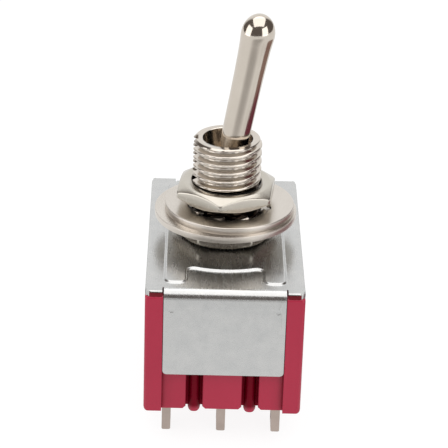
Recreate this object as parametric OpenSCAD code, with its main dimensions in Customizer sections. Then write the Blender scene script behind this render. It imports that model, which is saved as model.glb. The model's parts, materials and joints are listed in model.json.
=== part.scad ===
// Miniature multi-pole toggle switch: moulded case, folded steel bracket, threaded
// bushing with its nuts and washers, bat lever, and the over-centre contact mechanism.
// Millimetres. Z = 0 is the plane of the terminal tips, +Z runs up the bushing,
// X is the direction of the throw and the poles stand in a row along Y.

/* [Poles and terminals] */
// Number of poles in the row
pole_count = 4; // [4:1:6]
// Spacing of the poles along the case
pole_pitch = 4.8; // [4.6:0.1:5.6]
// Spacing of the three terminal columns across the case
throw_pitch = 4.7; // [4.5:0.1:5.4]
// Centre of the last pole to the end of the case
pole_end = 4.15; // [4:0.05:4.6]
// Centre of the outer terminal column to the side of the case
side_margin = 1.9; // [1.75:0.05:2.4]
// Thickness of the terminal metal, along the throw
terminal_t = 0.75; // [0.6:0.05:0.9]
// Width of a terminal blade, along the row
terminal_w = 2; // [1.6:0.1:2.4]
// Length of the terminals below the case
terminal_drop = 3.7; // [3:0.1:6]
// Radius of the terminals' lower corners
tip_r = 0.15; // [0.05:0.05:0.25]
// Width of the wiring eye in a terminal
eye_w = 0.9; // [0.6:0.1:1.1]
// Length of the wiring eye in a terminal
eye_l = 1.6; // [1.3:0.1:2.2]
// Lower end of the wiring eye above the terminal's tip
eye_up = 0.7; // [0.5:0.1:1]
// How far each terminal's shoulder stands out past its blade
shoulder_out = 0.3; // [0.1:0.05:0.5]
// Height of the terminal shoulders above the floor
shoulder_h = 0.4; // [0.2:0.05:0.5]

/* [Case] */
// Height of the moulded case, from its underside to the bracket
case_h = 10.8; // [10.4:0.1:12.5]
// Thickness of the case's long side walls
side_wall = 1.2; // [0.8:0.05:1.4]
// Thickness of the end walls at the bottom of the grooves
end_wall = 0.65; // [0.4:0.05:0.75]
// Thickness of the case's floor
floor_t = 2.5; // [1.8:0.1:2.8]
// Radius of the case's upright corners
case_corner_r = 0.3; // [0.1:0.05:0.5]
// Radius of the case's lower edges
case_foot_r = 0.4; // [0.2:0.05:0.6]
// Thickness of the barriers between the poles
barrier_t = 0.8; // [0.5:0.05:1]
// Height of the barriers above the floor
barrier_h = 2.5; // [2:0.1:2.7]
// Width of the standoff ribs
rib_w = 1.05; // [0.8:0.05:1.2]
// How far the ribs stand below the case
rib_drop = 0.5; // [0.2:0.05:0.8]
// How far a rib's round end stands out of its groove's back
rib_proud = 0.3; // [0.1:0.05:0.4]
// Width of the upright grooves in the case's ends
groove_w = 1.4; // [1.25:0.05:1.6]
// Depth of the grooves behind the flanges' recess
groove_d = 0.7; // [0.5:0.05:0.8]
// Height of the plain rim above the grooves
groove_rim = 1.2; // [0.8:0.1:2]
// Chamfer at the lower edges of the grooves
groove_chamfer = 0.25; // [0.1:0.05:0.3]

/* [Bracket] */
// Thickness of the bracket's sheet
sheet_t = 0.5; // [0.4:0.05:0.6]
// Width of the case's corner posts beside the flange at the front
post_w = 1.55; // [1.3:0.05:1.8]
// Width of the narrower flange at the back
back_flange_w = 8.6; // [7.6:0.1:9.6]
// Height of the flanges, from the bracket's top face
flange_h = 7.75; // [6:0.05:9]
// Outer radius of the folds
fold_r = 1.1; // [0.7:0.05:1.2]
// Radius of the flanges' lower corners
flange_corner_r = 0.35; // [0.1:0.05:0.6]
// Radius of the bracket's corners over the case's posts
plate_corner_r = 0.6; // [0.2:0.05:0.9]
// How far the corner tabs stop short of the case's ends
tab_setback = 0.05; // [0.05:0.05:0.3]
// Width of the slits between the corner tabs and the folds
relief_w = 0.12; // [0.08:0.02:0.3]
// Height of the pressed pad above the plate
pad_h = 0.35; // [0.2:0.05:0.4]
// Side of the bracket to the pressed pad
pad_side = 1.5; // [1.3:0.05:1.7]
// Distance between the pad's two feet at one end
pad_foot_gap = 6.3; // [5.8:0.1:6.8]
// Radius of the pad's curved edge about the bushing
pad_arc_r = 7.65; // [7.2:0.05:8]
// End of the case to the feet of the pad
pad_end = 1.5; // [1.3:0.05:1.7]
// Radius of the pad feet's corners
pad_corner_r = 0.7; // [0.5:0.05:0.85]
// Fillet between the pad's curved edge and its feet
pad_fillet_r = 0.5; // [0.2:0.05:0.7]
// Width of the pressed wall round the pad
pad_wall = 0.3; // [0.2:0.05:0.4]
// Distance of the locking dimples from the side edges of the flange
dimple_side = 0.65; // [0.6:0.05:1]
// Depth of the locking dimples below the bracket's top face
dimple_down = 1.7; // [1.5:0.1:3]
// Height of the dimples inside the flange
dimple_h = 0.2; // [0.1:0.05:0.25]
// Radius of the dimples' round form
dimple_r = 0.45; // [0.35:0.05:0.55]

/* [Bushing] */
// Outer radius of the bushing's thread
thread_r = 2.95; // [2.85:0.01:3.1]
// Radius at which the thread and a nut on it meet
pitch_r = 2.756; // [2.72:0.002:2.78]
// Height of the bushing above the bracket's top face
bushing_h = 9; // [8.4:0.1:11]
// Height of the chamfer at the bushing's top
rim_chamfer = 0.3; // [0.1:0.05:0.4]
// Radius of the bushing's mouth
mouth_r = 2.15; // [2.05:0.05:2.3]
// Radius of the neck that holds the lever's ball down
neck_r = 1.75; // [1.7:0.05:1.85]
// Radius of the bushing's flange under the bracket
base_flange_r = 4.4; // [4:0.1:4.6]
// Thickness of the bushing's flange
base_flange_t = 0.8; // [0.6:0.05:1]
// Width of the keyway
keyway_w = 0.9; // [0.7:0.05:1.1]
// Depth of the keyway
keyway_d = 0.45; // [0.3:0.05:0.5]

/* [Nuts and washers] */
// Width of the hexagon nuts across their flats
nut_af = 8; // [7.6:0.1:9]
// Height of a hexagon nut
nut_h = 1.75; // [1.2:0.05:2]
// Radius of the flat face on a nut
nut_face_r = 3.7; // [3.5:0.05:3.9]
// Angle of the chamfer on a nut's corners
nut_chamfer = 30; // [20:1:35]
// Depth of the countersink at each end of a nut's thread
nut_sink = 0.35; // [0.2:0.05:0.45]
// Angle of the upper nut about the bushing
upper_nut_turn = 23; // [0:1:59]
// Radius of the locating ring
ring_r = 6.1; // [5.8:0.05:6.4]
// Thickness of the locating ring
ring_t = 0.35; // [0.25:0.05:0.5]
// Radius of the lock washer
washer_r = 5.55; // [5.4:0.05:6]
// Thickness of the lock washer's rim
washer_t = 0.6; // [0.4:0.05:0.65]
// Inner radius of the lock washer's rim
washer_rim_r = 4.2; // [4.1:0.05:4.4]
// Radius inside the lock washer's teeth
tooth_r = 3.4; // [3.35:0.05:3.5]
// Number of teeth in the lock washer
tooth_count = 10; // [8:1:11]
// Width of a tooth
tooth_w = 1.3; // [1:0.05:1.4]
// Radius of the round ends of the gaps between the teeth
tooth_root_r = 0.5; // [0.3:0.05:0.6]
// Thickness of a tooth
tooth_t = 0.5; // [0.35:0.05:0.55]
// Twist of a tooth out of the washer's plane
tooth_twist = 18; // [10:1:20]
// How far the loose lock washer lies off the bushing's axis
washer_shift = 0.33; // [0:0.01:0.36]

/* [Lever] */
// Lean of the lever from upright, half its throw
lever_tilt = 9.75; // [8:0.25:11]
// Height of the lever's pivot above the bracket's top face
pivot_h = 5.43; // [5.2:0.01:6.2]
// Length of the lever above its pivot
lever_l = 14.75; // [12:0.25:20]
// Radius of the lever's ball
ball_r = 2.1; // [2:0.05:2.2]
// Radius of the lever where it leaves the ball
lever_base_r = 1.2; // [1:0.05:1.25]
// Radius of the lever below its rounded end
lever_shaft_r = 1.33; // [1.25:0.01:1.4]
// Radius of the lever's rounded end
lever_tip_r = 1.42; // [1.4:0.02:1.8]
// Radius of the shank below the ball
shank_r = 0.85; // [0.7:0.05:0.9]
// Depth of the shank in the carrier
shank_depth = 1.9; // [1.4:0.1:2.1]

/* [Contact mechanism] */
// Height of the rockers' fulcrum above the floor
fulcrum_h = 1; // [0.9:0.05:1.2]
// Swing of a rocker from level, and rise of its two arms
rocker_swing = 6; // [5:0.25:7]
// Contact buttons to the ends of the rocker's arms
button_end = 0.4; // [0.2:0.05:0.5]
// Thickness of a rocker's arms
rocker_t = 0.4; // [0.3:0.05:0.45]
// Metal above a rocker's pivot groove
saddle_t = 0.425; // [0.35:0.025:0.5]
// Width of a rocker
rocker_w = 2.4; // [2.2:0.1:2.8]
// Width of a rocker's waist between the ears of its terminal
waist_w = 1.1; // [0.9:0.05:1.2]
// Contact buttons to the outer terminals' columns
button_in = 0.6; // [0.5:0.05:0.8]
// Radius of a contact button
button_r = 0.55; // [0.4:0.05:0.6]
// Height of a contact button
button_h = 0.2; // [0.15:0.05:0.25]
// How far the ears of a middle terminal end below its rocker's top
ear_drop = 0.1; // [0.1:0.05:0.3]
// Length of the contact tab on an outer terminal
tab_l = 1.8; // [1.7:0.05:2]
// Radius of the bend at the contact tab
tab_bend_r = 0.5; // [0.3:0.05:0.55]
// Radius of a plunger
plunger_r = 0.8; // [0.7:0.05:0.85]
// Length of a plunger
plunger_l = 2.6; // [2.3:0.1:2.8]
// Length of plunger that stands out of the carrier
plunger_out = 1.6; // [1.4:0.1:1.7]
// Wall of the carrier's spring tubes
tube_wall = 0.45; // [0.35:0.05:0.55]
// Thickness of the tubes' closed ends
tube_cap = 0.6; // [0.4:0.05:0.8]
// Thickness of the carrier's beam
beam_t = 1.8; // [1.2:0.1:2.2]
// Height of the carrier's beam
beam_h = 2.6; // [2.4:0.1:3]
// Diameter of the spring wire
wire_d = 0.22; // [0.16:0.02:0.26]
// Turns in a spring
spring_turns = 6; // [4:1:7]

/* [Clearances] */
// Running fit of the moving pieces
run_gap = 0.05; // [0.03:0.01:0.1]
// Gap at an electrical contact that is drawn closed
contact_gap = 0.05; // [0.03:0.01:0.08]
// Gap round pieces that are fixed in place
seat_gap = 0.02; // [0.01:0.01:0.04]
// Gap beside the flanges in the case's recess
flange_gap = 0.05; // [0.02:0.01:0.1]
// Gap between the carrier and the bushing above it
carrier_gap = 0.3; // [0.2:0.05:0.4]

/* [Hidden] */
$fn = 96;
// allowance by which a cut runs past the face it opens
cut = 1;

case_w = 2 * (throw_pitch + side_margin);
case_l = (pole_count - 1) * pole_pitch + 2 * pole_end;
flange_w = case_w - 2 * post_w;
pad_w = case_w - 2 * pad_side;
pad_l = case_l - 2 * pad_end;
button_x = throw_pitch - button_in;
rocker_arm = button_x + button_end;
case_z = terminal_drop;
floor_z = case_z + floor_t;
sheet_z = case_z + case_h;
plate_z = sheet_z + sheet_t;
pad_z = plate_z + pad_h;
recess_d = sheet_t + seat_gap;
groove_back_y = case_l / 2 - recess_d - groove_d;
cavity_w = case_w - 2 * side_wall;
cavity_l = 2 * (groove_back_y - end_wall);
rib_x = throw_pitch / 2;

// stack of hardware on the bushing, from the pad upwards
lower_nut_z = pad_z;
ring_z = lower_nut_z + nut_h;
washer_z = ring_z + ring_t;
tooth_half_h = tooth_t / 2 * cos(tooth_twist) + tooth_w / 2 * sin(tooth_twist);
upper_nut_z = washer_z + max(washer_t, 2 * tooth_half_h);
bushing_top_z = plate_z + bushing_h;
base_flange_top_z = sheet_z + pad_h;
base_flange_z = base_flange_top_z - base_flange_t;
nut_bore_r = pitch_r + seat_gap;
ring_bore_r = thread_r + 2 * run_gap;

// lever, carrier, plungers and rockers
pivot_z = plate_z + pivot_h;
seat_r = ball_r + run_gap;
fulcrum_r = terminal_t / 2;
fulcrum_z = floor_z + fulcrum_h;
rocker_rise = fulcrum_r + run_gap + saddle_t;
rocker_z = fulcrum_z + rocker_rise;
contact_z = fulcrum_z + rocker_rise * cos(rocker_swing) - rocker_t - button_h - contact_gap;
ear_gap = waist_w + 2 * run_gap;
ear_top_z = rocker_z - ear_drop;
plunger_reach = pivot_z - rocker_z - contact_gap;
tube_r = plunger_r + run_gap + tube_wall;
tube_end = plunger_reach - plunger_out;
carrier_top = (pivot_z - base_flange_z + carrier_gap + tube_r * sin(lever_tilt)) / cos(lever_tilt);
spring_top = carrier_top + tube_cap + seat_gap;
spring_end = plunger_reach - plunger_l - seat_gap;
coil_r = plunger_r - wire_d / 2;

function pole_y(k) = (k - (pole_count + 1) / 2) * pole_pitch;

// Width of the flange and place of its dimples, for the side 1 at the back and -1 at the front
function flange_width(side) = side > 0 ? back_flange_w : flange_w;
function dimple_x(side) = flange_width(side) / 2 - dimple_side;

function numbered(name) = [for (k = [1 : pole_count]) str(name, "_", k)];

// ---- shared shapes ----

// Rectangle with true round corners, centred on the origin
module rounded_rectangle(w, l, r) {
    square([w - 2 * r, l], center = true);
    square([w, l - 2 * r], center = true);
    for (x = [-1, 1], y = [-1, 1])
        translate([x * (w / 2 - r), y * (l / 2 - r)]) circle(r);
}

// Upright rectangle on the X axis with its two lower corners rounded
module footed_rectangle(w, h, r) {
    translate([-w / 2, r]) square([w, h - r]);
    translate([-w / 2 + r, 0]) square([w - 2 * r, h]);
    for (x = [-1, 1]) translate([x * (w / 2 - r), r]) circle(r);
}

// Turns what is drawn at the +Y end to the end on a side, 1 or -1
module at_end(side) {
    mirror([0, (1 - side) / 2, 0]) children();
}

// Carries a drawing of the X-Z plane along Y, centred
module along_y(length) {
    rotate([90, 0, 0]) linear_extrude(length, center = true) children();
}

// Carries a drawing of the Y-Z plane along X, centred
module along_x(length) {
    rotate([90, 0, 90]) linear_extrude(length, center = true) children();
}

// Turns what moves with the lever about the lever's pivot
module on_lever(y = 0) {
    translate([0, y, pivot_z]) rotate([0, lever_tilt, 0]) children();
}

// ---- case ----

// Two ribs under the case that end as round columns in the grooves
module standoff_rib(x) {
    rib_l = 2 * (groove_back_y + rib_proud) - rib_w;
    rib_h = rib_drop + case_h - groove_rim;
    translate([x, 0, case_z - rib_drop])
        intersection() {
            linear_extrude(rib_h) {
                square([rib_w, rib_l], center = true);
                for (y = [-1, 1]) translate([0, y * rib_l / 2]) circle(rib_w / 2);
            }
            along_y(case_l) footed_rectangle(rib_w, rib_h, min(case_foot_r, rib_w / 3));
        }
}

// Recess for a flange of a width at the +Y end, with the grooves in its face
module end_recess(width) {
    groove_h = case_h - groove_rim;
    fold_clear = fold_r - sheet_t + seat_gap;
    translate([0, case_l / 2, case_z]) {
        // the slope at the top clears the inside of the fold
        along_x(width + 2 * flange_gap)
            polygon([
                [cut, -cut],
                [cut, case_h + cut],
                [-recess_d - fold_clear - cut, case_h + cut],
                [-recess_d, case_h - fold_clear],
                [-recess_d, -cut]
            ]);
        for (x = [-1, 1]) translate([x * rib_x, 0, 0])
            along_y(2 * (recess_d + groove_d)) {
                translate([-groove_w / 2, -cut]) square([groove_w, groove_h + cut]);
                polygon([
                    [-groove_w / 2 - groove_chamfer, 0],
                    [-groove_w / 2, groove_chamfer],
                    [groove_w / 2, groove_chamfer],
                    [groove_w / 2 + groove_chamfer, 0],
                    [groove_w / 2 + groove_chamfer, -cut],
                    [-groove_w / 2 - groove_chamfer, -cut]
                ]);
            }
    }
}

module dimples(r) {
    for (x = [-1, 1], side = [-1, 1])
        translate([x * dimple_x(side), side * (case_l / 2 - sheet_t + dimple_r - dimple_h), plate_z - dimple_down])
            sphere(r);
}

module case() {
    color("crimson")
    difference() {
        union() {
            difference() {
                union() {
                    difference() {
                        intersection() {
                            translate([0, 0, case_z])
                                linear_extrude(case_h) rounded_rectangle(case_w, case_l, case_corner_r);
                            translate([0, 0, case_z])
                                along_y(case_l + cut) footed_rectangle(case_w, case_h + cut, case_foot_r);
                        }
                        for (side = [-1, 1]) at_end(side) end_recess(flange_width(side));
                    }
                    for (side = [-1, 1]) standoff_rib(side * rib_x);
                }
                translate([0, 0, floor_z])
                    linear_extrude(case_h) rounded_rectangle(cavity_w, cavity_l, case_corner_r);
            }
            for (k = [1 : pole_count - 1])
                translate([0, (pole_y(k) + pole_y(k + 1)) / 2, floor_z + (barrier_h - cut) / 2])
                    cube([cavity_w + side_wall, barrier_t, barrier_h + cut], center = true);
        }
        for (x = [-1, 0, 1], k = [1 : pole_count])
            translate([x * throw_pitch, pole_y(k), case_z + floor_t / 2])
                cube([terminal_t + 2 * seat_gap, terminal_w + 2 * seat_gap, floor_t + 2 * rib_drop + cut], center = true);
        dimples(dimple_r + run_gap);
    }
}

// ---- bracket ----

// Outline of the pressed pad, drawn in by a wall width for the hollow below it
module pad_outline(inset) {
    half_w = pad_w / 2 - inset;
    foot_x = pad_foot_gap / 2 + inset;
    arc_r = pad_arc_r - inset;
    foot_w = half_w - foot_x;
    corner_r = pad_corner_r - inset;
    fillet_r = pad_fillet_r + inset;
    fillet_x = foot_x - fillet_r;
    fillet_y = sqrt(pow(arc_r + fillet_r, 2) - pow(fillet_x, 2));
    intersection() {
        circle(arc_r);
        square([2 * half_w, 2 * arc_r], center = true);
    }
    for (x = [0, 1], y = [0, 1]) mirror([x, 0]) mirror([0, y]) {
        translate([foot_x, 0]) square([foot_w, pad_l / 2 - inset - corner_r]);
        translate([foot_x + corner_r, 0]) square([foot_w - 2 * corner_r, pad_l / 2 - inset]);
        for (corner_x = [foot_x + corner_r, half_w - corner_r])
            translate([corner_x, pad_l / 2 - inset - corner_r]) circle(corner_r);
        difference() {
            polygon([[0, 0], [fillet_x, fillet_y], [foot_x, fillet_y], [foot_x, 0]]);
            translate([fillet_x, fillet_y]) circle(fillet_r);
        }
    }
}

// Section of what lies inside a fold: a corner rounded about the origin, with two sides
module fold_section(r, reach) {
    circle(r);
    translate([-reach, -reach]) square([reach, reach + r]);
    translate([-reach, -reach]) square([reach + r, reach]);
}

// Sheet that comes off the plate, round the fold and down a flange of a width, at the +Y end
module folded_flange(width) {
    intersection() {
        translate([0, case_l / 2 - fold_r, plate_z - fold_r])
            along_x(case_w)
                difference() {
                    fold_section(fold_r, flange_h);
                    fold_section(fold_r - sheet_t, flange_h + cut);
                }
        translate([0, case_l / 2, plate_z - flange_h])
            along_y(case_l) footed_rectangle(width, flange_h + cut, flange_corner_r);
    }
}

module bracket() {
    color("silver")
    difference() {
        union() {
            translate([0, 0, sheet_z])
                linear_extrude(sheet_t)
                    difference() {
                        rounded_rectangle(case_w, case_l - 2 * tab_setback, plate_corner_r);
                        for (side = [-1, 1])
                            translate([0, side * case_l / 2])
                                square([flange_width(side) + 2 * relief_w, 2 * fold_r], center = true);
                    }
            translate([0, 0, sheet_z + sheet_t / 2]) linear_extrude(sheet_t / 2 + pad_h) pad_outline(0);
            for (side = [-1, 1]) at_end(side) folded_flange(flange_width(side));
            dimples(dimple_r);
        }
        // outside of the flanges stays flat behind the dimples, apart from the punch marks
        for (y = [-1, 1])
            translate([0, y * (case_l / 2 + cut / 2), plate_z - dimple_down])
                cube([flange_w, cut, 4 * dimple_r], center = true);
        for (x = [-1, 1], side = [-1, 1])
            translate([x * dimple_x(side), side * case_l / 2, plate_z - dimple_down]) sphere(dimple_r - dimple_h);
        translate([0, 0, sheet_z - cut]) linear_extrude(cut + pad_h) pad_outline(pad_wall);
        translate([0, 0, sheet_z]) cylinder(r = thread_r + seat_gap, h = pad_z - sheet_z + cut);
    }
}

// ---- bushing, nuts and washers ----

// Barrel of the bushing: at the thread's outer radius where it is bare, and at the
// pitch radius where a nut is screwed onto it
module barrel() {
    translate([0, 0, base_flange_z]) cylinder(r = base_flange_r, h = base_flange_t);
    translate([0, 0, base_flange_z]) cylinder(r = pitch_r, h = bushing_top_z - rim_chamfer - base_flange_z);
    translate([0, 0, base_flange_z]) cylinder(r = thread_r, h = lower_nut_z - base_flange_z);
    translate([0, 0, ring_z]) cylinder(r = thread_r, h = upper_nut_z - ring_z);
    translate([0, 0, upper_nut_z + nut_h])
        cylinder(r = thread_r, h = bushing_top_z - rim_chamfer - upper_nut_z - nut_h);
    translate([0, 0, bushing_top_z - rim_chamfer])
        cylinder(r1 = thread_r, r2 = thread_r - rim_chamfer, h = rim_chamfer);
}

module bushing() {
    neck_z = pivot_z + sqrt(seat_r * seat_r - neck_r * neck_r);
    color("tan")
    difference() {
        barrel();
        translate([0, 0, base_flange_z - cut]) cylinder(r = seat_r, h = pivot_z - base_flange_z + cut);
        translate([0, 0, pivot_z]) sphere(seat_r);
        translate([0, 0, pivot_z]) cylinder(r = neck_r, h = neck_z - pivot_z + seat_gap);
        translate([0, 0, neck_z]) cylinder(r1 = neck_r, r2 = mouth_r, h = bushing_top_z - neck_z);
        translate([0, 0, bushing_top_z]) cylinder(r = mouth_r, h = cut);
        translate([-thread_r - cut, -keyway_w / 2, pad_z])
            cube([keyway_d + cut, keyway_w, bushing_top_z - pad_z + cut]);
    }
}

module nut() {
    corner_r = nut_af / 2 / cos(30);
    sink_r = nut_bore_r + nut_sink;
    difference() {
        intersection() {
            cylinder(r = corner_r, h = nut_h, $fn = 6);
            cylinder(r1 = nut_face_r, r2 = nut_face_r + nut_h / tan(nut_chamfer), h = nut_h);
            cylinder(r2 = nut_face_r, r1 = nut_face_r + nut_h / tan(nut_chamfer), h = nut_h);
        }
        translate([0, 0, -cut]) cylinder(r = nut_bore_r, h = nut_h + 2 * cut);
        translate([0, 0, nut_h - nut_sink]) cylinder(r1 = nut_bore_r, r2 = sink_r, h = nut_sink);
        translate([0, 0, nut_h]) cylinder(r = sink_r, h = cut);
        cylinder(r1 = sink_r, r2 = nut_bore_r, h = nut_sink);
        translate([0, 0, -cut]) cylinder(r = sink_r, h = cut);
    }
}

module lower_nut() {
    color("tan") translate([0, 0, lower_nut_z]) nut();
}

module upper_nut() {
    color("tan") translate([0, 0, upper_nut_z]) rotate([0, 0, upper_nut_turn]) nut();
}

// Flat ring whose key stands in the bushing's keyway
module locating_ring() {
    key_w = keyway_w - 2 * run_gap;
    key_r = thread_r - keyway_d + 2 * run_gap;
    color("wheat")
    translate([0, 0, ring_z])
        linear_extrude(ring_t) {
            difference() {
                circle(ring_r);
                circle(ring_bore_r);
            }
            translate([-ring_bore_r - keyway_w / 2, -key_w / 2])
                square([ring_bore_r + keyway_w / 2 - key_r, key_w]);
        }
}

// Washer with inward teeth that are twisted out of its plane
module lock_washer() {
    tooth_l = washer_rim_r - tooth_r + washer_t / 2;
    gap_r = min(tooth_root_r, PI * washer_rim_r / tooth_count - tooth_w / 2);
    color("wheat")
    translate([washer_shift, 0, washer_z]) {
        linear_extrude(washer_t)
            difference() {
                circle(washer_r);
                circle(washer_rim_r);
                for (i = [0 : tooth_count - 1])
                    rotate((i + 0.5) * 360 / tooth_count) translate([washer_rim_r - gap_r / 4, 0]) circle(gap_r);
            }
        for (i = [0 : tooth_count - 1])
            rotate([0, 0, i * 360 / tooth_count])
                translate([tooth_r + tooth_l / 2, 0, tooth_half_h])
                    rotate([tooth_twist, 0, 0]) cube([tooth_l, tooth_w, tooth_t], center = true);
    }
}

// ---- lever and carrier ----

module lever() {
    tip_up = lever_l - lever_tip_r;
    color("silver")
    on_lever() {
        sphere(ball_r);
        cylinder(r1 = lever_base_r, r2 = lever_shaft_r, h = tip_up - lever_tip_r);
        translate([0, 0, tip_up - lever_tip_r])
            cylinder(r1 = lever_shaft_r, r2 = lever_tip_r, h = lever_tip_r);
        translate([0, 0, tip_up]) sphere(lever_tip_r);
        translate([0, 0, -carrier_top - shank_depth]) cylinder(r = shank_r, h = carrier_top + shank_depth);
    }
}

// Beam with one spring tube for each pole and a socket for the lever's shank
module carrier() {
    socket_r = shank_r + run_gap;
    tube_l = tube_end - carrier_top;
    beam_l = (pole_count - 1) * pole_pitch;
    color("ivory")
    on_lever()
        difference() {
            union() {
                translate([0, 0, -carrier_top - beam_h / 2]) cube([beam_t, beam_l, beam_h], center = true);
                translate([0, 0, -carrier_top - beam_h]) cylinder(r = socket_r + tube_wall, h = beam_h);
                for (k = [1 : pole_count])
                    translate([0, pole_y(k), -tube_end]) cylinder(r = tube_r, h = tube_l);
            }
            for (k = [1 : pole_count])
                translate([0, pole_y(k), -tube_end - cut])
                    cylinder(r = plunger_r + run_gap, h = tube_l - tube_cap + cut);
            translate([0, 0, -carrier_top - shank_depth - seat_gap])
                cylinder(r = socket_r, h = shank_depth + seat_gap + cut);
        }
}

// ---- springs, plungers and rockers ----

// Coil of round wire between the heights 0 and length
module coil(length, turns) {
    steps = 16;
    sides = 6;
    rings = turns * steps;
    wire_r = wire_d / 2;
    lead = (length - wire_d) / turns;
    slope = atan(lead / (2 * PI * coil_r));
    points = [
        for (i = [0 : rings], j = [0 : sides - 1])
            let (a = 360 * i / steps, b = 360 * j / sides)
                [
                    (coil_r + wire_r * cos(b)) * cos(a) + wire_r * sin(b) * sin(slope) * sin(a),
                    (coil_r + wire_r * cos(b)) * sin(a) - wire_r * sin(b) * sin(slope) * cos(a),
                    wire_r + lead * i / steps + wire_r * sin(b) * cos(slope)
                ]
    ];
    walls = [
        for (i = [0 : rings - 1], j = [0 : sides - 1])
            let (a = i * sides + j, b = i * sides + (j + 1) % sides)
                each [[a, b, a + sides], [b, b + sides, a + sides]]
    ];
    ends = [
        [for (j = [sides - 1 : -1 : 0]) j],
        [for (j = [0 : sides - 1]) rings * sides + j]
    ];
    polyhedron(points, concat(walls, ends), convexity = 10);
}

module spring(k) {
    color("gainsboro")
    on_lever(pole_y(k))
        translate([0, 0, -spring_end]) coil(spring_end - spring_top, spring_turns);
}

module plunger(k) {
    color("goldenrod")
    on_lever(pole_y(k)) {
        translate([0, 0, -plunger_reach + plunger_r]) {
            cylinder(r = plunger_r, h = plunger_l - plunger_r);
            sphere(plunger_r);
        }
    }
}

// Shallow V of contact metal that tips on its terminal's fulcrum
module rocker(k) {
    saddle_w = 2 * (fulcrum_r + run_gap + rocker_t);
    notch_w = terminal_t + 2 * (run_gap + rocker_rise * sin(rocker_swing) + contact_gap);
    arm_top = rocker_arm * [cos(rocker_swing), sin(rocker_swing)];
    arm_foot = arm_top + rocker_t * [sin(rocker_swing), -cos(rocker_swing)];
    color("goldenrod")
    translate([0, pole_y(k), fulcrum_z])
        rotate([0, -rocker_swing, 0])
            difference() {
                union() {
                    translate([0, 0, rocker_rise])
                        along_y(rocker_w)
                            polygon([
                                [0, 0],
                                arm_top,
                                arm_foot,
                                [0, -rocker_t / cos(rocker_swing)],
                                [-arm_foot.x, arm_foot.y],
                                [-arm_top.x, arm_top.y]
                            ]);
                    for (side = [0, 1]) mirror([side, 0, 0])
                        translate([0, 0, rocker_rise])
                            rotate([0, -rocker_swing, 0])
                                translate([button_x, 0, -rocker_t - button_h])
                                    cylinder(r = button_r, h = button_h + rocker_t / 2);
                    translate([-saddle_w / 2, -waist_w / 2, 0])
                        cube([saddle_w, waist_w, rocker_rise - rocker_t / 2]);
                }
                rotate([90, 0, 0]) cylinder(r = fulcrum_r + run_gap, h = rocker_w + cut, center = true);
                for (side = [-1, 1])
                    translate([0, side * (waist_w + rocker_w) / 2, rocker_rise / 2])
                        cube([notch_w, rocker_w, 2 * rocker_rise], center = true);
            }
}

// ---- terminals ----

// Blade from its tip to the floor, with its wiring eye and the shoulders that seat it
module blade(top_z) {
    eye_r = eye_w / 2;
    difference() {
        union() {
            along_y(terminal_w) footed_rectangle(terminal_t, top_z, tip_r);
            translate([0, 0, floor_z + shoulder_h / 2])
                cube([terminal_t, terminal_w + 2 * shoulder_out, shoulder_h], center = true);
        }
        along_x(terminal_t + cut) {
            for (z = [eye_up + eye_r, eye_up + eye_l - eye_r]) translate([0, z]) circle(eye_r);
            translate([-eye_r, eye_up + eye_r]) square([eye_w, eye_l - eye_w]);
        }
    }
}

// Middle terminal: its round top edge is the fulcrum, between two upright ears
module common_terminal(k) {
    color("rosybrown")
    translate([0, pole_y(k), 0]) {
        blade(fulcrum_z);
        translate([0, 0, fulcrum_z]) rotate([90, 0, 0]) cylinder(r = fulcrum_r, h = terminal_w, center = true);
        for (side = [-1, 1])
            translate([0, side * (terminal_w + ear_gap) / 4, (floor_z + ear_top_z) / 2])
                cube([terminal_t, (terminal_w - ear_gap) / 2, ear_top_z - floor_z], center = true);
    }
}

// Outer terminal on the +X side: its top is bent inwards as the contact tab
module outer_terminal(k) {
    color("rosybrown")
    translate([throw_pitch, pole_y(k), 0]) {
        blade(contact_z - tab_bend_r);
        along_y(terminal_w) {
            translate([terminal_t / 2 - tab_l, contact_z - terminal_t])
                square([tab_l - tab_bend_r, terminal_t]);
            translate([-terminal_t / 2, contact_z - terminal_t])
                square([terminal_t, terminal_t - tab_bend_r]);
            translate([terminal_t / 2 - tab_bend_r, contact_z - tab_bend_r]) circle(tab_bend_r);
        }
    }
}

module right_terminal(k) {
    outer_terminal(k);
}

module left_terminal(k) {
    mirror([1, 0, 0]) outer_terminal(k);
}

case();
bracket();
bushing();
lower_nut();
locating_ring();
lock_washer();
upper_nut();
lever();
carrier();
for (k = [1 : pole_count]) {
    spring(k);
    plunger(k);
    rocker(k);
    common_terminal(k);
    left_terminal(k);
    right_terminal(k);
}
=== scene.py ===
"""Looks of the miniature toggle switch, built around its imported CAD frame."""
import json
import math

import bmesh
import bpy
from mathutils import Matrix, Vector


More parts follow.
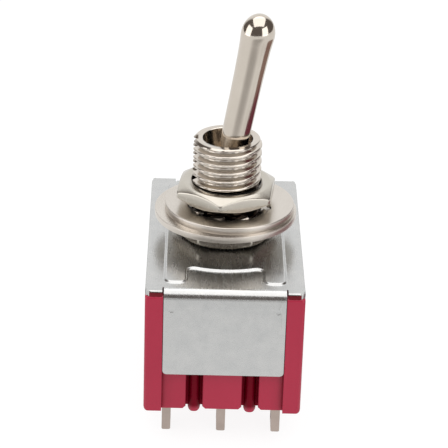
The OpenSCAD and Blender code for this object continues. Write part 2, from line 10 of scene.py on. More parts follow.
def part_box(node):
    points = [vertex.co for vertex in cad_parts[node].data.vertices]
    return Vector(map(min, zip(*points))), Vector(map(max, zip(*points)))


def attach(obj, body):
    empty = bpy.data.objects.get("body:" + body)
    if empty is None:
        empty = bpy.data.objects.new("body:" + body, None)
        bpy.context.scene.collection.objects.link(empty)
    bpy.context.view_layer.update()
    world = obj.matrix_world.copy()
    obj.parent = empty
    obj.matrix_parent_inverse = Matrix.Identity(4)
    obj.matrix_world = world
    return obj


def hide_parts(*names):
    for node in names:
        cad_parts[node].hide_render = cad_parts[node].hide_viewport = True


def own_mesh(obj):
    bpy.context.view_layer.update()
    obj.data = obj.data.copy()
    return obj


MM = 0.001
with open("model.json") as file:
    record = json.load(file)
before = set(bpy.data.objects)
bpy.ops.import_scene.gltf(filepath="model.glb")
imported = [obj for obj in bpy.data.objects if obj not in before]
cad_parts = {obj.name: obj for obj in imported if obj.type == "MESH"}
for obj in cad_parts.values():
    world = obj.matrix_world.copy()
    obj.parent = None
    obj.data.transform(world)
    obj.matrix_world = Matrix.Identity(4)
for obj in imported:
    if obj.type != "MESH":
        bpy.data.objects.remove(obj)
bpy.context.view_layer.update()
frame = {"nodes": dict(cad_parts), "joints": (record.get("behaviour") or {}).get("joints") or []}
POLES = range(1, sum(name.startswith("plunger_") for name in frame["nodes"]) + 1)

# heights of the pressed pad above the plate in millimetres, in the solids and as it shows
PAD_HEIGHT, PAD_SHOWN = 0.35, 0.17
# outer radius of the bracket's folds in millimetres, in the solids and as it shows
FOLD_R, FOLD_SHOWN = 1.1, 0.8
# a noise value mostly lies between these
NOISE_SPAN = 0.3, 0.7


# ---- places that the frame gives ----

plate_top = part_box("bracket")[1].z - PAD_HEIGHT * MM
case_low, case_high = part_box("case")
bushing_low, bushing_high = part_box("bushing")
groove_x = 2.35
lever_joint = next(joint for joint in frame["joints"] if joint["name"] == "lever_tilt")
pivot = Vector(lever_joint["pos_m"])
lean = -math.radians(lever_joint["range_deg"][0]) / 2


# ---- meshes ----

def add_object(name, mesh, body, replaced=()):
    """Links a mesh as a piece that rides on a body and stands for CAD nodes."""
    piece = bpy.data.objects.new(name, mesh)
    bpy.context.scene.collection.objects.link(piece)
    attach(piece, body)
    if replaced:
        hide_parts(*replaced)
    return piece


def shade(mesh, angle=35):
    """Smooth shading that keeps the edges sharper than an angle in degrees."""
    mesh.shade_smooth()
    mesh.set_sharp_from_angle(angle=math.radians(angle))


def weighted(piece):
    """Keeps flat faces flat next to their rounded edges."""
    normals = piece.modifiers.new("normals", "WEIGHTED_NORMAL")
    normals.keep_sharp = True
    normals.weight = 80
    return piece


def softened(name, rounds, reshape=None, cuts=()):
    """Copy of a CAD node of the housing with its flat faces made whole and its sharp edges rounded.

    Each round is a width in millimetres, a count of segments, a test of an edge's middle, in millimetres,
    and whether short edges may limit the width. Cuts are places across x where the faces are divided.
    """
    weld, sliver = 2e-4 * MM, 1e-4 * MM
    flat, sharp = math.radians(0.5), math.radians(32)
    form = bmesh.new()
    form.from_mesh(frame["nodes"][name].data)
    bmesh.ops.remove_doubles(form, verts=form.verts, dist=weld)
    bmesh.ops.dissolve_degenerate(form, edges=form.edges, dist=sliver)
    bmesh.ops.dissolve_limit(form, angle_limit=flat, verts=form.verts, edges=form.edges)
    if reshape:
        reshape(form)
    for width, segments, wanted, limited in rounds:
        edges = [
            e for e in form.edges
            if e.is_manifold and e.calc_face_angle() > sharp
            and wanted((e.verts[0].co + e.verts[1].co) / 2 / MM)
        ]
        bmesh.ops.bevel(
            form, geom=edges, offset=width * MM, segments=segments, profile=0.5, affect="EDGES", clamp_overlap=limited,
        )
    for x in cuts:
        bmesh.ops.bisect_plane(
            form, geom=form.verts[:] + form.edges[:] + form.faces[:], plane_co=(x * MM, 0, 0), plane_no=(1, 0, 0),
        )
    mesh = bpy.data.meshes.new(name + "_form")
    form.to_mesh(mesh)
    form.free()
    shade(mesh)
    return weighted(add_object(name + "_look", mesh, "housing", [name]))


def anywhere(_middle):
    return True


def grid_mesh(name, rows, close_v=False):
    """Mesh of quads over rows of points, each row closed on itself, and the last row joined to the first if asked."""
    count = len(rows[0])
    vertices = [point for row in rows for point in row]
    faces = []
    for i in range(len(rows) if close_v else len(rows) - 1):
        below, above = i * count, (i + 1) % len(rows) * count
        for j in range(count):
            k = (j + 1) % count
            faces.append((below + j, below + k, above + k, above + j))
    mesh = bpy.data.meshes.new(name)
    mesh.from_pydata(vertices, [], faces)
    return mesh


def arc(centre, radius, start, end, steps):
    """Points on an arc in a profile's own plane, angles in degrees."""
    angles = [math.radians(start + (end - start) * i / steps) for i in range(steps + 1)]
    return [(centre[0] + radius * math.cos(a), centre[1] + radius * math.sin(a)) for a in angles]


def turned(name, profile, segments, place=Matrix.Identity(4)):
    """Lathe form of a profile of (radius, height) points in millimetres; a radius of 0 closes an end."""
    rows, caps = [], []
    for radius, height in profile:
        if radius == 0:
            caps.append((len(rows), height))
            continue
        rows.append([
            Vector((radius * math.cos(a), radius * math.sin(a), height)) * MM
            for a in (2 * math.pi * i / segments for i in range(segments))
        ])
    mesh = grid_mesh(name, rows)
    form = bmesh.new()
    form.from_mesh(mesh)
    form.verts.ensure_lookup_table()
    for row, height in caps:
        ring = form.verts[0:segments] if row == 0 else form.verts[(len(rows) - 1) * segments:len(rows) * segments]
        tip = form.verts.new(Vector((0, 0, height)) * MM)
        for i in range(segments):
            form.faces.new((tip, ring[(i + 1) % segments], ring[i]))
    bmesh.ops.recalc_face_normals(form, faces=form.faces)
    form.transform(place)
    form.to_mesh(mesh)
    form.free()
    shade(mesh)
    return mesh


# ---- materials ----

def new_material(name):
    material = bpy.data.materials.new(name)
    material.use_nodes = True
    nodes = material.node_tree.nodes
    return material, nodes, material.node_tree.links, nodes["Principled BSDF"]


def coordinates(nodes, links, stretch):
    """Object coordinates in millimetres, stretched by three factors."""
    source = nodes.new("ShaderNodeTexCoord")
    mapping = nodes.new("ShaderNodeMapping")
    mapping.inputs["Scale"].default_value = [factor / MM for factor in stretch]
    links.new(source.outputs["Object"], mapping.inputs["Vector"])
    return mapping.outputs["Vector"]


def noise_field(nodes, links, vector, scale, detail=3, rough=0.55):
    field = nodes.new("ShaderNodeTexNoise")
    field.inputs["Scale"].default_value = scale
    field.inputs["Detail"].default_value = detail
    field.inputs["Roughness"].default_value = rough
    links.new(vector, field.inputs["Vector"])
    return field.outputs["Fac"]


def spread(nodes, links, source, low, high):
    """Maps a noise value onto a range of its own."""
    mapper = nodes.new("ShaderNodeMapRange")
    mapper.inputs["From Min"].default_value, mapper.inputs["From Max"].default_value = NOISE_SPAN
    mapper.inputs["To Min"].default_value = low
    mapper.inputs["To Max"].default_value = high
    links.new(source, mapper.inputs["Value"])
    return mapper.outputs["Result"]


def tinted(nodes, links, source, dark, light):
    """Colour between two tints, by a noise value."""
    ramp = nodes.new("ShaderNodeValToRGB")
    for stop, place, tint in zip(ramp.color_ramp.elements, NOISE_SPAN, (dark, light)):
        stop.position = place
        stop.color = (*tint, 1)
    links.new(source, ramp.inputs["Fac"])
    return ramp.outputs["Color"]


def bump(nodes, links, shader, source, height_mm):
    """Fine relief of a height in millimetres, by a noise value."""
    node = nodes.new("ShaderNodeBump")
    node.inputs["Strength"].default_value = 1
    node.inputs["Distance"].default_value = height_mm * MM
    links.new(source, node.inputs["Height"])
    links.new(node.outputs["Normal"], shader.inputs["Normal"])


def value(nodes, links, operation, first, second=None):
    """Math node of one or two values, each a number or a socket."""
    node = nodes.new("ShaderNodeMath")
    node.operation = operation
    for socket, source in zip(node.inputs, (first, second)):
        if source is None:
            continue
        if isinstance(source, (int, float)):
            socket.default_value = source
        else:
            links.new(source, socket)
    return node.outputs[0]


def smooth(nodes, links, source, start, end, low=0.0, high=1.0):
    """Smooth step of a value from one level to another."""
    mapper = nodes.new("ShaderNodeMapRange")
    mapper.interpolation_type = "SMOOTHSTEP"
    mapper.inputs["From Min"].default_value = start
    mapper.inputs["From Max"].default_value = end
    mapper.inputs["To Min"].default_value = low
    mapper.inputs["To Max"].default_value = high
    links.new(source, mapper.inputs["Value"])
    return mapper.outputs["Result"]


def distance_to(nodes, links, source, place, stretch=(1, 1, 1)):
    """Distance of a vector from a place, with each axis stretched."""
    shift = nodes.new("ShaderNodeVectorMath")
    shift.operation = "SUBTRACT"
    shift.inputs[1].default_value = place
    links.new(source, shift.inputs[0])
    scale = nodes.new("ShaderNodeVectorMath")
    scale.operation = "MULTIPLY"
    scale.inputs[1].default_value = stretch
    links.new(shift.outputs["Vector"], scale.inputs[0])
    length = nodes.new("ShaderNodeVectorMath")
    length.operation = "LENGTH"
    links.new(scale.outputs["Vector"], length.inputs[0])
    return length.outputs["Value"]


def blend(nodes, links, share, first, second):
    """Mixed colour of two, each a tint or a socket."""
    mix = nodes.new("ShaderNodeMix")
    mix.data_type = "RGBA"
    links.new(share, mix.inputs["Factor"])
    for socket, source in ((mix.inputs[6], first), (mix.inputs[7], second)):
        if isinstance(source, tuple):
            socket.default_value = (*source, 1)
        else:
            links.new(source, socket)
    return mix.outputs[2]


def place_axes(nodes, links):
    """The three object coordinates, each as a value."""
    axes = nodes.new("ShaderNodeSeparateXYZ")
    links.new(nodes.new("ShaderNodeTexCoord").outputs["Object"], axes.inputs[0])
    return axes.outputs


def openness(nodes, links, distance_mm, closed, opened, only_local=False):
    """0 in a cleft and 1 in the open, between two levels of ambient occlusion."""
    depth = nodes.new("ShaderNodeAmbientOcclusion")
    depth.only_local = only_local
    depth.samples = 8
    depth.inputs["Distance"].default_value = distance_mm * MM
    return smooth(nodes, links, depth.outputs["AO"], closed, opened)


def groove_share(nodes, links):
    """1 in the two upright grooves of each end of the case, where shade is painted, 0 elsewhere."""
    axes = place_axes(nodes, links)
    from_middle = value(nodes, links, "SUBTRACT", value(nodes, links, "ABSOLUTE", axes["X"]), groove_x * MM)
    across = smooth(nodes, links, value(nodes, links, "ABSOLUTE", from_middle), 0.8 * MM, 0.68 * MM)
    from_centre = value(nodes, links, "ABSOLUTE", axes["Y"])
    end = smooth(nodes, links, from_centre, case_high.y - 1.6 * MM, case_high.y - 1.4 * MM)
    above = smooth(nodes, links, axes["Z"], case_low.z + 0.15 * MM, case_low.z + 0.6 * MM)
    return value(nodes, links, "MULTIPLY", value(nodes, links, "MULTIPLY", across, end), above)


def moulded_plastic(name, dark, light, roughness, crevice_shade=None):
    """Injection moulding: faint flow marks in the colour, a fine matt skin, and, if a shade colour is given, painted
    shade with a weaker specular where it is deep and in the end grooves.
    """
    material, nodes, links, shader = new_material(name)
    vector = coordinates(nodes, links, (1, 1, 0.5))
    flow = noise_field(nodes, links, vector, 0.35, 4)
    skin = noise_field(nodes, links, vector, 6, 3)
    colour = tinted(nodes, links, flow, dark, light)
    # painted shade: the shade colour in clefts, by ambient occlusion, and in the end grooves
    if crevice_shade:
        open_share = openness(nodes, links, 1.1, 0.35, 0.8, only_local=True)
        shaded = value(nodes, links, "MULTIPLY", groove_share(nodes, links), 0.85)
        open_share = value(nodes, links, "MULTIPLY", open_share, value(nodes, links, "SUBTRACT", 1.0, shaded))
        colour = blend(nodes, links, open_share, crevice_shade, colour)
        links.new(value(nodes, links, "MULTIPLY", open_share, 0.5), shader.inputs["Specular IOR Level"])
    links.new(colour, shader.inputs["Base Color"])
    links.new(spread(nodes, links, skin, roughness - 0.06, roughness + 0.06), shader.inputs["Roughness"])
    shader.inputs["IOR"].default_value = 1.5
    bump(nodes, links, shader, skin, 0.004)
    return material


def plated_metal(name, dark, light, roughness, stretch, scale, grain, mottle=0.3, shift=0.04, crevice_shade=None, sunk=None):
    """Plated metal: mottled tone, and fine tool or rolling marks that run along the small stretch.

    It is painted with shade in clefts, by two levels of openness, and from a little above the sunk height down, where a
    nut hides it.
    """
    material, nodes, links, shader = new_material(name)
    even = coordinates(nodes, links, (1, 1, 1))
    marks = noise_field(nodes, links, coordinates(nodes, links, stretch), scale, 4, 0.6)
    cloud = noise_field(nodes, links, even, mottle, 5, 0.6)
    colour = tinted(nodes, links, cloud, dark, light)
    if crevice_shade:
        open_share = openness(nodes, links, 0.8, *crevice_shade)
        if sunk:
            above = smooth(nodes, links, place_axes(nodes, links)["Z"], sunk - 0.02 * MM, sunk + 0.08 * MM)
            open_share = value(nodes, links, "MULTIPLY", open_share, above)
        # near-black painted shade
        colour = blend(nodes, links, open_share, (0.055, 0.04, 0.03), colour)
    links.new(colour, shader.inputs["Base Color"])
    links.new(spread(nodes, links, marks, roughness - shift, roughness + shift), shader.inputs["Roughness"])
    shader.inputs["Metallic"].default_value = 1
    bump(nodes, links, shader, marks, grain)
    return material


# the dark red given last is painted shade in the case's clefts and end grooves
CRIMSON = moulded_plastic(
    "crimson_moulding", (0.375, 0.007, 0.038), (0.405, 0.010, 0.044), 0.34, crevice_shade=(0.13, 0.0, 0.006),
)
STEEL = plated_metal("bright_sheet", (0.55, 0.555, 0.55), (0.61, 0.61, 0.60), 0.26, (1, 0.12, 1), 3, 0.0007, 1.1)
SHEARED = plated_metal("sheared_edge", (0.30, 0.29, 0.28), (0.40, 0.39, 0.38), 0.45, (0.3, 0.3, 2), 4, 0.003)
# dark red painted shade and painted reflection of the red case, for the ends of the tabs
TAB_END_SHADE = plated_metal("tab_end_painted_shade", (0.17, 0.02, 0.026), (0.22, 0.03, 0.04), 0.4, (0.3, 0.3, 2), 4, 0.003)
# painted shade in the thread's clefts and at the top of the upper nut
NICKEL = plated_metal(
    "turned_nickel", (0.63, 0.575, 0.51), (0.69, 0.635, 0.57), 0.15, (0.4, 0.4, 3), 4, 0.0012, crevice_shade=(0.1, 0.58),
    sunk=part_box("upper_nut")[1].z,
)
# painted shade in the nuts' clefts
SATIN = plated_metal(
    "satin_nickel", (0.54, 0.505, 0.445), (0.60, 0.565, 0.50), 0.24, (3, 3, 0.25), 4, 0.0015, crevice_shade=(0.04, 0.3),
)
# painted shade in the clefts of the ring and the washer
STAMPED = plated_metal(
    "stamped_nickel", (0.63, 0.585, 0.53), (0.69, 0.645, 0.59), 0.28, (3, 3, 0.25), 4, 0.0015, crevice_shade=(0.02, 0.22),
)
# a rougher turned finish with fine marks, and a tint a little lighter than the stamped metal that is painted light on
# the rings' edges
RIM = plated_metal("turned_rim", (0.66, 0.61, 0.55), (0.72, 0.67, 0.61), 0.31, (9, 9, 0.3), 4, 0.003)
# near-black painted shade inside the nuts' bores
BORE_SHADE = plated_metal("bore_painted_shade", (0.05, 0.038, 0.03), (0.09, 0.07, 0.055), 0.5, (1, 1, 1), 6, 0.004)
POLISHED = plated_metal("polished_nickel", (0.61, 0.55, 0.48), (0.67, 0.61, 0.535), 0.12, (3, 3, 0.15), 3, 0.0012)
TIN = plated_metal("tinned_lug", (0.42, 0.35, 0.31), (0.52, 0.435, 0.385), 0.42, (1, 1, 0.2), 5, 0.002)
BRASS = plated_metal("contact_brass", (0.55, 0.38, 0.16), (0.68, 0.48, 0.22), 0.3, (0.3, 1, 1), 5, 0.002)
WIRE = plated_metal("spring_wire", (0.45, 0.45, 0.45), (0.55, 0.55, 0.55), 0.3, (1, 1, 1), 9, 0.002)
IVORY = moulded_plastic("carrier_moulding", (0.62, 0.60, 0.52), (0.70, 0.68, 0.60), 0.5)


def dress(piece, material):
    piece.data.materials.clear()
    piece.data.materials.append(material)
    return piece


# ---- case, bracket and terminals ----

plate_z, end_y = plate_top / MM, -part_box("bracket")[0].y / MM
pad_z, pad_look = plate_z + PAD_HEIGHT, plate_z + PAD_SHOWN
mark_z, side_x = plate_z - 1.7, 6.5


def flange_marks(form):
    """Makes the punch marks of the flanges shallow."""
    for v in form.verts:
        x, y, z = v.co / MM
        end = math.copysign(end_y, y)
        if 0.01 < end_y - abs(y) < 0.3 and abs(z - mark_z) < 0.3 and 3 < abs(x) < 5:
            v.co.y = (end - (end - y) * 0.1) * MM


def slope_pad(form):
    """Leans the pressed wall of the pad inwards and lowers the pad a little, as the press leaves it."""
    moves = []
    for v in form.verts:
        if abs(v.co.z / MM - pad_z) > 0.01:
            continue
        walls = [f.normal.xy.normalized() for f in v.link_faces if abs(f.normal.z) < 0.1]
        way = Vector((0, 0))
        if walls and v.co.xy.length > 3.5 * MM:
            way = sum(walls, way)
            way.normalize()
            way *= PAD_SHOWN * MM / max(way.dot(walls[0]), 0.5)
        moves.append((v, way))
    for v, way in moves:
        v.co.xy -= way
        v.co.z = pad_look * MM


def tighten_folds(form):
    """Draws the outer faces of the two folds in to the radius that shows."""
    for v in form.verts:
        side = math.copysign(1, v.co.y)
        across, up = side * v.co.y / MM - end_y + FOLD_R, v.co.z / MM - plate_z + FOLD_R
        if across > -0.01 and up > -0.01 and abs(math.hypot(across, up) - FOLD_R) < 0.02:
            v.co.y = side * (end_y - FOLD_SHOWN + across * FOLD_SHOWN / FOLD_R) * MM
            v.co.z = (plate_z - FOLD_SHOWN + up * FOLD_SHOWN / FOLD_R) * MM


def pressed(form):
    """The bracket's form as the press leaves it."""
    flange_marks(form)
    form.normal_update()
    slope_pad(form)
    tighten_folds(form)
    form.normal_update()


def on_pad(middle):
    in_outline = abs(middle.x) < 5.2 and abs(middle.y) < 10 and middle.xy.length > 3.5
    return middle.z > plate_z - 0.01 and in_outline


def at_outside(middle):
    """Whether a place lies on the outer sides or ends of the body."""
    return abs(middle.x) > side_x or abs(middle.y) > end_y - 0.1


def on_plate_rim(middle):
    return abs(middle.z - plate_z) < 0.01 and at_outside(middle)


def off_marks(middle):
    return not (abs(middle.z - mark_z) < 0.4 and 3 < abs(middle.x) < 4.75 and abs(middle.y) > 10)


def on_post_tops(middle):
    return middle.z > case_high.z / MM - 0.02 and at_outside(middle)


def show_sheared_edges(piece):
    """Gives the plate's sheared sides their own metal, and the ends of its tabs beside the flanges a dark red that is
    painted shade and a painted reflection of the red case.
    """
    piece.data.materials.append(SHEARED)
    piece.data.materials.append(TAB_END_SHADE)
    for face in piece.data.polygons:
        middle = face.center / MM
        flange_half = 4.4 if middle.y > 0 else 5.15
        on_tab_end = abs(middle.y) > end_y - 0.1 and abs(middle.x) > flange_half
        upright = abs(face.normal.z) < 0.3 and middle.z > plate_z - 0.6
        if upright and (abs(middle.x) > side_x or on_tab_end):
            # tab ends facing along y get the painted dark red shade and reflection
            face.material_index = 2 if abs(face.normal.y) > 0.9 else 1


dress(softened("case", [(0.2, 4, on_post_tops, True), (0.07, 3, anywhere, True)]), CRIMSON)
show_sheared_edges(dress(softened(
    "bracket", [(0.1, 5, on_pad, True), (0.2, 5, on_plate_rim, False), (0.05, 3, off_marks, True)],
    reshape=pressed, cuts=(-4.8, -4.3, 4.3, 4.8),
), STEEL))
for column in ("left", "common", "right"):
    for k in POLES:
        dress(softened(f"{column}_terminal_{k}", [(0.06, 2, anywhere, True)]), TIN)


def thicken(form):
    """Lets the locating ring reach down to the lower nut."""
    low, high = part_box("locating_ring")
    for v in form.verts:
        if v.co.z < (low.z + high.z) / 2:
            v.co.z -= (pad_z - pad_look) * MM


def rimmed(piece):
    """Gives a ring's outer edge its turned finish, whose slightly lighter tint is painted light."""
    piece.data.materials.append(RIM)
    for face in piece.data.polygons:
        if abs(face.normal.z) < 0.5 and face.center.xy.length > 5 * MM:
            face.material_index = 1


rimmed(dress(softened("locating_ring", [(0.04, 3, anywhere, True)], reshape=thicken), STAMPED))


def calm_teeth(form):
    """Takes most of the set out of the washer's teeth, as the tightened nut does, and draws them in."""
    low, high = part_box("lock_washer")
    axis, middle = (low + high) / 2, (low.z + high.z) / 2
    inner, outer = 3.1 * MM, 4.7 * MM
    for v in form.verts:
        away = v.co.xy - axis.xy
        if away.length < outer:
            v.co.z = middle + (v.co.z - middle) * 0.4
            v.co.xy = axis.xy + away.normalized() * (inner + (away.length - inner) * 0.42)


def on_washer_rim(middle):
    return middle.xy.length > 5 and middle.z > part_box("lock_washer")[1].z / MM - 0.3


rimmed(dress(softened(
    "lock_washer", [(0.1, 4, on_washer_rim, True), (0.03, 2, anywhere, True)], reshape=calm_teeth,
), STAMPED))


# ---- lever ----

def lever_piece():
    """Turned bat lever with its ball and shank, from the top of its round end down."""
    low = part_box("lever")[0].z
    shank = 0.85
    shank_end = (pivot.z - low) / MM / math.cos(lean) - shank * math.tan(lean)
    ball, neck = 2.1, 1.205
    dome_z, dome_r, dome_h = 13.1, 1.43, 1.77
    profile = [(0, dome_z + dome_h)]
    profile += [
        (dome_r * math.sin(math.radians(a)), dome_z + dome_h * math.cos(math.radians(a)))
        for a in range(5, 91, 5)
    ]
    profile += [(1.42, 12.85), (1.385, 12.45), (1.345, 11.9), (1.31, 11), (1.27, 9.5), (1.24, 7.5)]
    profile += [(1.222, 5), (1.21, 3)]
    profile += arc((0, 0), ball, math.degrees(math.acos(neck / ball)), -math.degrees(math.acos(shank / ball)), 24)
    profile += [(shank, -shank_end + 0.1), (shank - 0.1, -shank_end), (0, -shank_end)]
    place = Matrix.Translation(pivot) @ Matrix.Rotation(lean, 4, "Y")
    return add_object("lever_look", turned("lever_form", profile, 96, place), "lever", ["lever"])


dress(lever_piece(), POLISHED)


# ---- bushing with its thread, and nuts ----

# where the helix starts, as a share of a turn
THREAD_START = 0.74
# radius in millimetres where the chamfer of a nut starts
NUT_FACE_R = 3.7


def thread_rows(top, foot):
    """Rows of points of a helical M6 x 0.75 thread with a keyway, from its foot up."""
    pitch, crest_r, root_r = 0.75, 2.95, 2.5
    root_share, flank_share, chamfer = 0.14, 0.74, 0.24
    key_half, key_floor = 0.45, crest_r - 0.45
    per_turn, step = 180, pitch / 16
    key_side = math.asin(key_half / crest_r)

    def thread(z, turn):
        """Radius of the thread at a height and a share of a turn."""
        share = ((z - top) / pitch - turn + THREAD_START) % 1
        flank = abs(share - 0.5) * 2
        shape = min(max((flank - root_share) / flank_share, 0), 1)
        shape = shape * shape * (3 - 2 * shape)
        run_in = min(max((z - foot - 0.2) / 0.5, 0), 1)
        run_out = min(max((top - z) / chamfer, 0), 1)
        depth = (crest_r - root_r) * run_in * min(1, run_out * 1.6)
        return min(crest_r - depth * (1 - shape), crest_r - chamfer * (1 - run_out))

    around = [math.pi + key_side + (2 * math.pi - 2 * key_side) * i / per_turn for i in range(per_turn + 1)]
    rows = []
    z = foot
    while z < top + 1e-6:
        row = []
        for a in around:
            r = thread(z, (a / (2 * math.pi)) % 1)
            row.append(Vector((r * math.cos(a), r * math.sin(a), z)) * MM)
        # the keyway has two upright walls and a flat floor
        first, last = row[0], row[-1]
        floor = -min(key_floor, -first.x / MM - 0.02)
        for x, y in ((last.x / MM, key_half), (floor, key_half), (floor, 0), (floor, -key_half)):
            row.append(Vector((x, y, z)) * MM)
        first.y = -key_half * MM
        last.y = key_half * MM
        rows.append(row)
        z += step
    return rows


def nut_piece(node, turn, sunk=0.0, under_r=NUT_FACE_R):
    """Hexagon nut: chamfered corners that meet the flats in arcs, and countersunk ends.

    It may be turned by some degrees and sit a little lower, and its under side may be chamfered further in.
    """
    low_z, high_z = (corner.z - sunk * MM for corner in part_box(node))
    across, height, bore_r = 8.0, (high_z - low_z) / MM, 2.8
    slope, soft = math.tan(math.radians(30)), 0.09
    segments = 360
    corner = across / 2 / math.cos(math.pi / 6)

    def half(face_r, side_r):
        """Radii and depths from the bore out to a side, for one end of the nut."""
        cut = max(0.0, (side_r - face_r) * slope)
        return [
            (bore_r, 0.75),
            (bore_r + 0.16, 0.05),
            (bore_r + 0.22, 0),
            (face_r - soft, 0),
            (face_r, 0.012),
            (face_r + soft, soft * slope + 0.004),
            (side_r - soft, cut - soft * slope * 0.6),
            (side_r - soft * 0.3, cut + soft * 0.25),
            (side_r, cut + soft * 1.1),
        ]

    columns = []
    for i in range(segments):
        a = 2 * math.pi * i / segments
        inside = a % (math.pi / 3) - math.pi / 6
        # the corners are eased a little between the flats
        flat_r = across / 2 / math.cos(inside)
        side_r = min(flat_r, corner - 0.06)
        profile = half(under_r, side_r) + [(r, height - z) for r, z in half(NUT_FACE_R, side_r)[::-1]]
        columns.append([Vector((r * math.cos(a), r * math.sin(a), z)) * MM for r, z in profile])
    mesh = grid_mesh(node + "_form", list(zip(*columns)), close_v=True)
    mesh.transform(Matrix.Translation((0, 0, low_z)) @ Matrix.Rotation(math.radians(turn), 4, "Z"))
    form = bmesh.new()
    form.from_mesh(mesh)
    bmesh.ops.recalc_face_normals(form, faces=form.faces)
    form.to_mesh(mesh)
    form.free()
    shade(mesh, 40)
    nut = dress(add_object(node + "_look", mesh, "housing", [node]), SATIN)
    mesh.materials.append(BORE_SHADE)
    # the bore and the steep inner part of its countersink get painted shade
    for face in mesh.polygons:
        if face.center.xy.length < (bore_r + 0.2) * MM and abs(face.normal.z) < 0.9:
            face.material_index = 1
    return nut


nut_piece("lower_nut", 0, pad_z - pad_look)
nut_piece("upper_nut", 23, under_r=3.35)


def bushing_piece():
    """Threaded bushing with its flange under the plate and a countersunk mouth round the lever's ball."""
    top, flange_low = bushing_high.z / MM, bushing_low.z / MM
    flange_high, flange_r = plate_top / MM - 0.15, 4.4
    rows = thread_rows(top, flange_high)
    mesh = grid_mesh("thread_form", rows)
    form = bmesh.new()
    form.from_mesh(mesh)
    form.verts.ensure_lookup_table()
    count = len(rows[0])
    rim = form.verts[(len(rows) - 1) * count:len(rows) * count]
    foot = form.verts[0:count]
    seat_r, neck_r, mouth_r = 2.15, 1.75, 2.15
    neck_z = pivot.z / MM + math.sqrt(seat_r ** 2 - neck_r ** 2)

    def ring(radius, z):
        """Circle of vertices below those of the thread's rim."""
        made = []
        for v in rim:
            a = math.atan2(v.co.y, v.co.x)
            made.append(form.verts.new((radius * math.cos(a) * MM, radius * math.sin(a) * MM, z * MM)))
        return made

    def band(a, b):
        for i in range(count):
            j = (i + 1) % count
            form.faces.new((a[i], a[j], b[j], b[i]))

    inner = [(mouth_r + 0.08, top), (mouth_r, top - 0.06), (neck_r + 0.03, neck_z + 0.05), (neck_r, neck_z)]
    inner += [(r, pivot.z / MM + h) for r, h in arc((0, 0), seat_r, math.degrees(math.acos(neck_r / seat_r)), 0, 8)]
    inner += [(seat_r, flange_low)]
    soft = 0.1
    flange = [(flange_r - soft, flange_low), (flange_r, flange_low + soft)]
    flange += [(flange_r, flange_high - soft), (flange_r - soft, flange_high)]
    last = rim
    for radius, z in inner + flange:
        new = ring(radius, z)
        band(last, new)
        last = new
    band(last, foot)
    bmesh.ops.recalc_face_normals(form, faces=form.faces)
    form.to_mesh(mesh)
    form.free()
    shade(mesh, 40)
    return dress(add_object("bushing_look", mesh, "housing", ["bushing"]), NICKEL)


bushing_piece()


# ---- pieces inside the case ----

def spring_piece(k):
    """Copy of a plunger's spring, which rides on the lever."""
    node, slide = f"spring_{k}", f"plunger_slide_{k}"
    piece = add_object(node + "_look", frame["nodes"][node].data.copy(), "lever", [node])
    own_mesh(dress(piece, WIRE))


dress(frame["nodes"]["carrier"], IVORY)
for k in POLES:
    dress(frame["nodes"][f"plunger_{k}"], BRASS)
    dress(frame["nodes"][f"rocker_{k}"], BRASS)
    spring_piece(k)


# ---- floor, lights, world and camera; lengths in metres ----

def seen_straight(nodes, links, path):
    """1 for the rays that show the background itself, from the camera or through glass."""
    return value(nodes, links, "MAXIMUM", path.outputs["Is Camera Ray"], path.outputs["Is Transmission Ray"])


def stage_floor():
    """White sweep; in mirrored light it is dim towards the camera, with a red neighbour on the right."""
    mesh = bpy.data.meshes.new("floor")
    half = 0.6
    mesh.from_pydata([(-half, -half, 0), (half, -half, 0), (half, half, 0), (-half, half, 0)], [], [(0, 1, 2, 3)])
    floor = bpy.data.objects.new("floor", mesh)
    floor.location.z = -0.01 * MM
    bpy.context.scene.collection.objects.link(floor)
    material = bpy.data.materials.new("floor_white")
    material.use_nodes = True
    nodes, links = material.node_tree.nodes, material.node_tree.links
    nodes.clear()
    path = nodes.new("ShaderNodeLightPath")
    place = nodes.new("ShaderNodeTexCoord").outputs["Object"]
    # patches of mirrored light: centre, stretch, outer and inner radius, colour
    patches = (
        ((0, -0.085, 0), (0.8, 1.25, 1), 0.062, 0.02, (0.52, 0.51, 0.50)),
        ((-0.042, -0.014, 0), (1, 1, 1), 0.02, 0.008, (0.68, 0.67, 0.65)),
        ((0.034, -0.031, 0), (1, 1, 1), 0.014, 0.004, (0.86, 0.86, 0.85)),
        ((0.052, 0.014, 0), (1, 0.43, 1), 0.013, 0.0105, (0.32, 0.22, 0.19)),
        ((0.037, 0.008, 0), (1, 0.37, 1), 0.0115, 0.009, (0.17, 0.045, 0.065)),
    )
    shown = (0.94, 0.94, 0.94)
    for centre, stretch, outer, inner, tint in patches:
        near = smooth(nodes, links, distance_to(nodes, links, place, centre, stretch), outer, inner)
        shown = blend(nodes, links, near, shown, tint)
    glossy = nodes.new("ShaderNodeEmission")
    links.new(shown, glossy.inputs["Color"])
    seen = nodes.new("ShaderNodeEmission")
    clear = seen_straight(nodes, links, path)
    bounced = value(nodes, links, "MULTIPLY", path.outputs["Is Diffuse Ray"], 0.75)
    links.new(value(nodes, links, "ADD", value(nodes, links, "MULTIPLY", clear, 0.9), bounced), seen.inputs["Strength"])
    matt = nodes.new("ShaderNodeBsdfDiffuse")
    matt.inputs["Color"].default_value = (0.14, 0.14, 0.14, 1)
    lit = nodes.new("ShaderNodeAddShader")
    links.new(matt.outputs[0], lit.inputs[0])
    links.new(seen.outputs[0], lit.inputs[1])
    both = nodes.new("ShaderNodeMixShader")
    links.new(path.outputs["Is Glossy Ray"], both.inputs["Fac"])
    links.new(lit.outputs[0], both.inputs[1])
    links.new(glossy.outputs[0], both.inputs[2])
    out = nodes.new("ShaderNodeOutputMaterial")
    links.new(both.outputs[0], out.inputs["Surface"])
    mesh.materials.append(material)


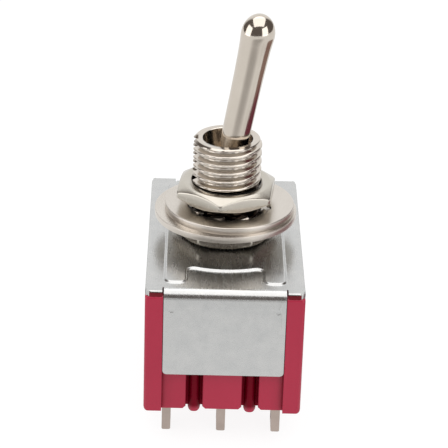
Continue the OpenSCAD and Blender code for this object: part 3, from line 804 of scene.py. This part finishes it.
def softbox(name, elevation, azimuth, distance, size, radiance):
    """Rectangular area lamp of a given radiance, aimed at the switch from two angles in degrees."""
    lamp = bpy.data.lights.new(name, "AREA")
    lamp.shape = "RECTANGLE"
    lamp.size, lamp.size_y = size
    lamp.energy = radiance * math.pi * size[0] * size[1]
    holder = bpy.data.objects.new(name, lamp)
    up, round_ = math.radians(elevation), math.radians(azimuth)
    way = Vector((math.cos(up) * math.cos(round_), math.cos(up) * math.sin(round_), math.sin(up)))
    holder.location = Vector((0, 0, plate_top)) + way * distance
    holder.rotation_euler = (-way).to_track_quat("-Z", "Y").to_euler()
    bpy.context.scene.collection.objects.link(holder)


def world_light():
    """White surroundings; in mirrored light a white backdrop behind, in a dim room."""
    world = bpy.data.worlds.new("studio")
    bpy.context.scene.world = world
    world.use_nodes = True
    nodes, links = world.node_tree.nodes, world.node_tree.links
    nodes.clear()
    path = nodes.new("ShaderNodeLightPath")
    way = nodes.new("ShaderNodeTexCoord").outputs["Generated"]
    backdrop = smooth(nodes, links, distance_to(nodes, links, way, (0, 0.8, 0.45), (1, 1, 0.75)), 0.78, 0.5)
    shown = blend(nodes, links, backdrop, (0.14, 0.12, 0.11), (1.0, 1.0, 1.0))
    mirrored = nodes.new("ShaderNodeBackground")
    links.new(shown, mirrored.inputs["Color"])
    even = nodes.new("ShaderNodeBackground")
    clear = seen_straight(nodes, links, path)
    links.new(smooth(nodes, links, clear, 0, 1, 0.6, 1), even.inputs["Strength"])
    mix = nodes.new("ShaderNodeMixShader")
    links.new(path.outputs["Is Glossy Ray"], mix.inputs["Fac"])
    links.new(even.outputs[0], mix.inputs[1])
    links.new(mirrored.outputs[0], mix.inputs[2])
    out = nodes.new("ShaderNodeOutputWorld")
    links.new(mix.outputs[0], out.inputs["Surface"])


def photo_camera():
    """Camera at the photograph's viewing angle: a long lens, above and in front of the switch."""
    pitch, yaw, roll = 0.4458, 0.0193, -0.0322
    lens_px, frame_px = 2041.14, 448
    place = Vector((-3.1695, -159.4377, 77.0338)) * MM + Vector((0, 0, plate_top))
    forward = Vector((math.sin(yaw) * math.cos(pitch), math.cos(yaw) * math.cos(pitch), -math.sin(pitch)))
    level = Vector((math.cos(yaw), -math.sin(yaw), 0))
    below = forward.cross(level)
    right = math.cos(roll) * level + math.sin(roll) * below
    down = -math.sin(roll) * level + math.cos(roll) * below
    camera = bpy.data.objects.new("camera", bpy.data.cameras.new("camera"))
    camera.matrix_world = Matrix((
        (right.x, -down.x, -forward.x, place.x),
        (right.y, -down.y, -forward.y, place.y),
        (right.z, -down.z, -forward.z, place.z),
        (0, 0, 0, 1),
    ))
    camera.data.sensor_width = 36
    camera.data.lens = lens_px / frame_px * camera.data.sensor_width
    camera.data.clip_start, camera.data.clip_end = 0.01, 5
    bpy.context.scene.collection.objects.link(camera)
    bpy.context.scene.camera = camera


stage_floor()
softbox("overhead", 83, -90, 0.28, (0.41, 0.40), 1.55)
softbox("left", 15, -165, 0.3, (0.24, 0.22), 1.7)
softbox("right", 16, -43, 0.3, (0.22, 0.2), 1.7)
world_light()
photo_camera()
bpy.context.scene.view_settings.view_transform = "Standard"
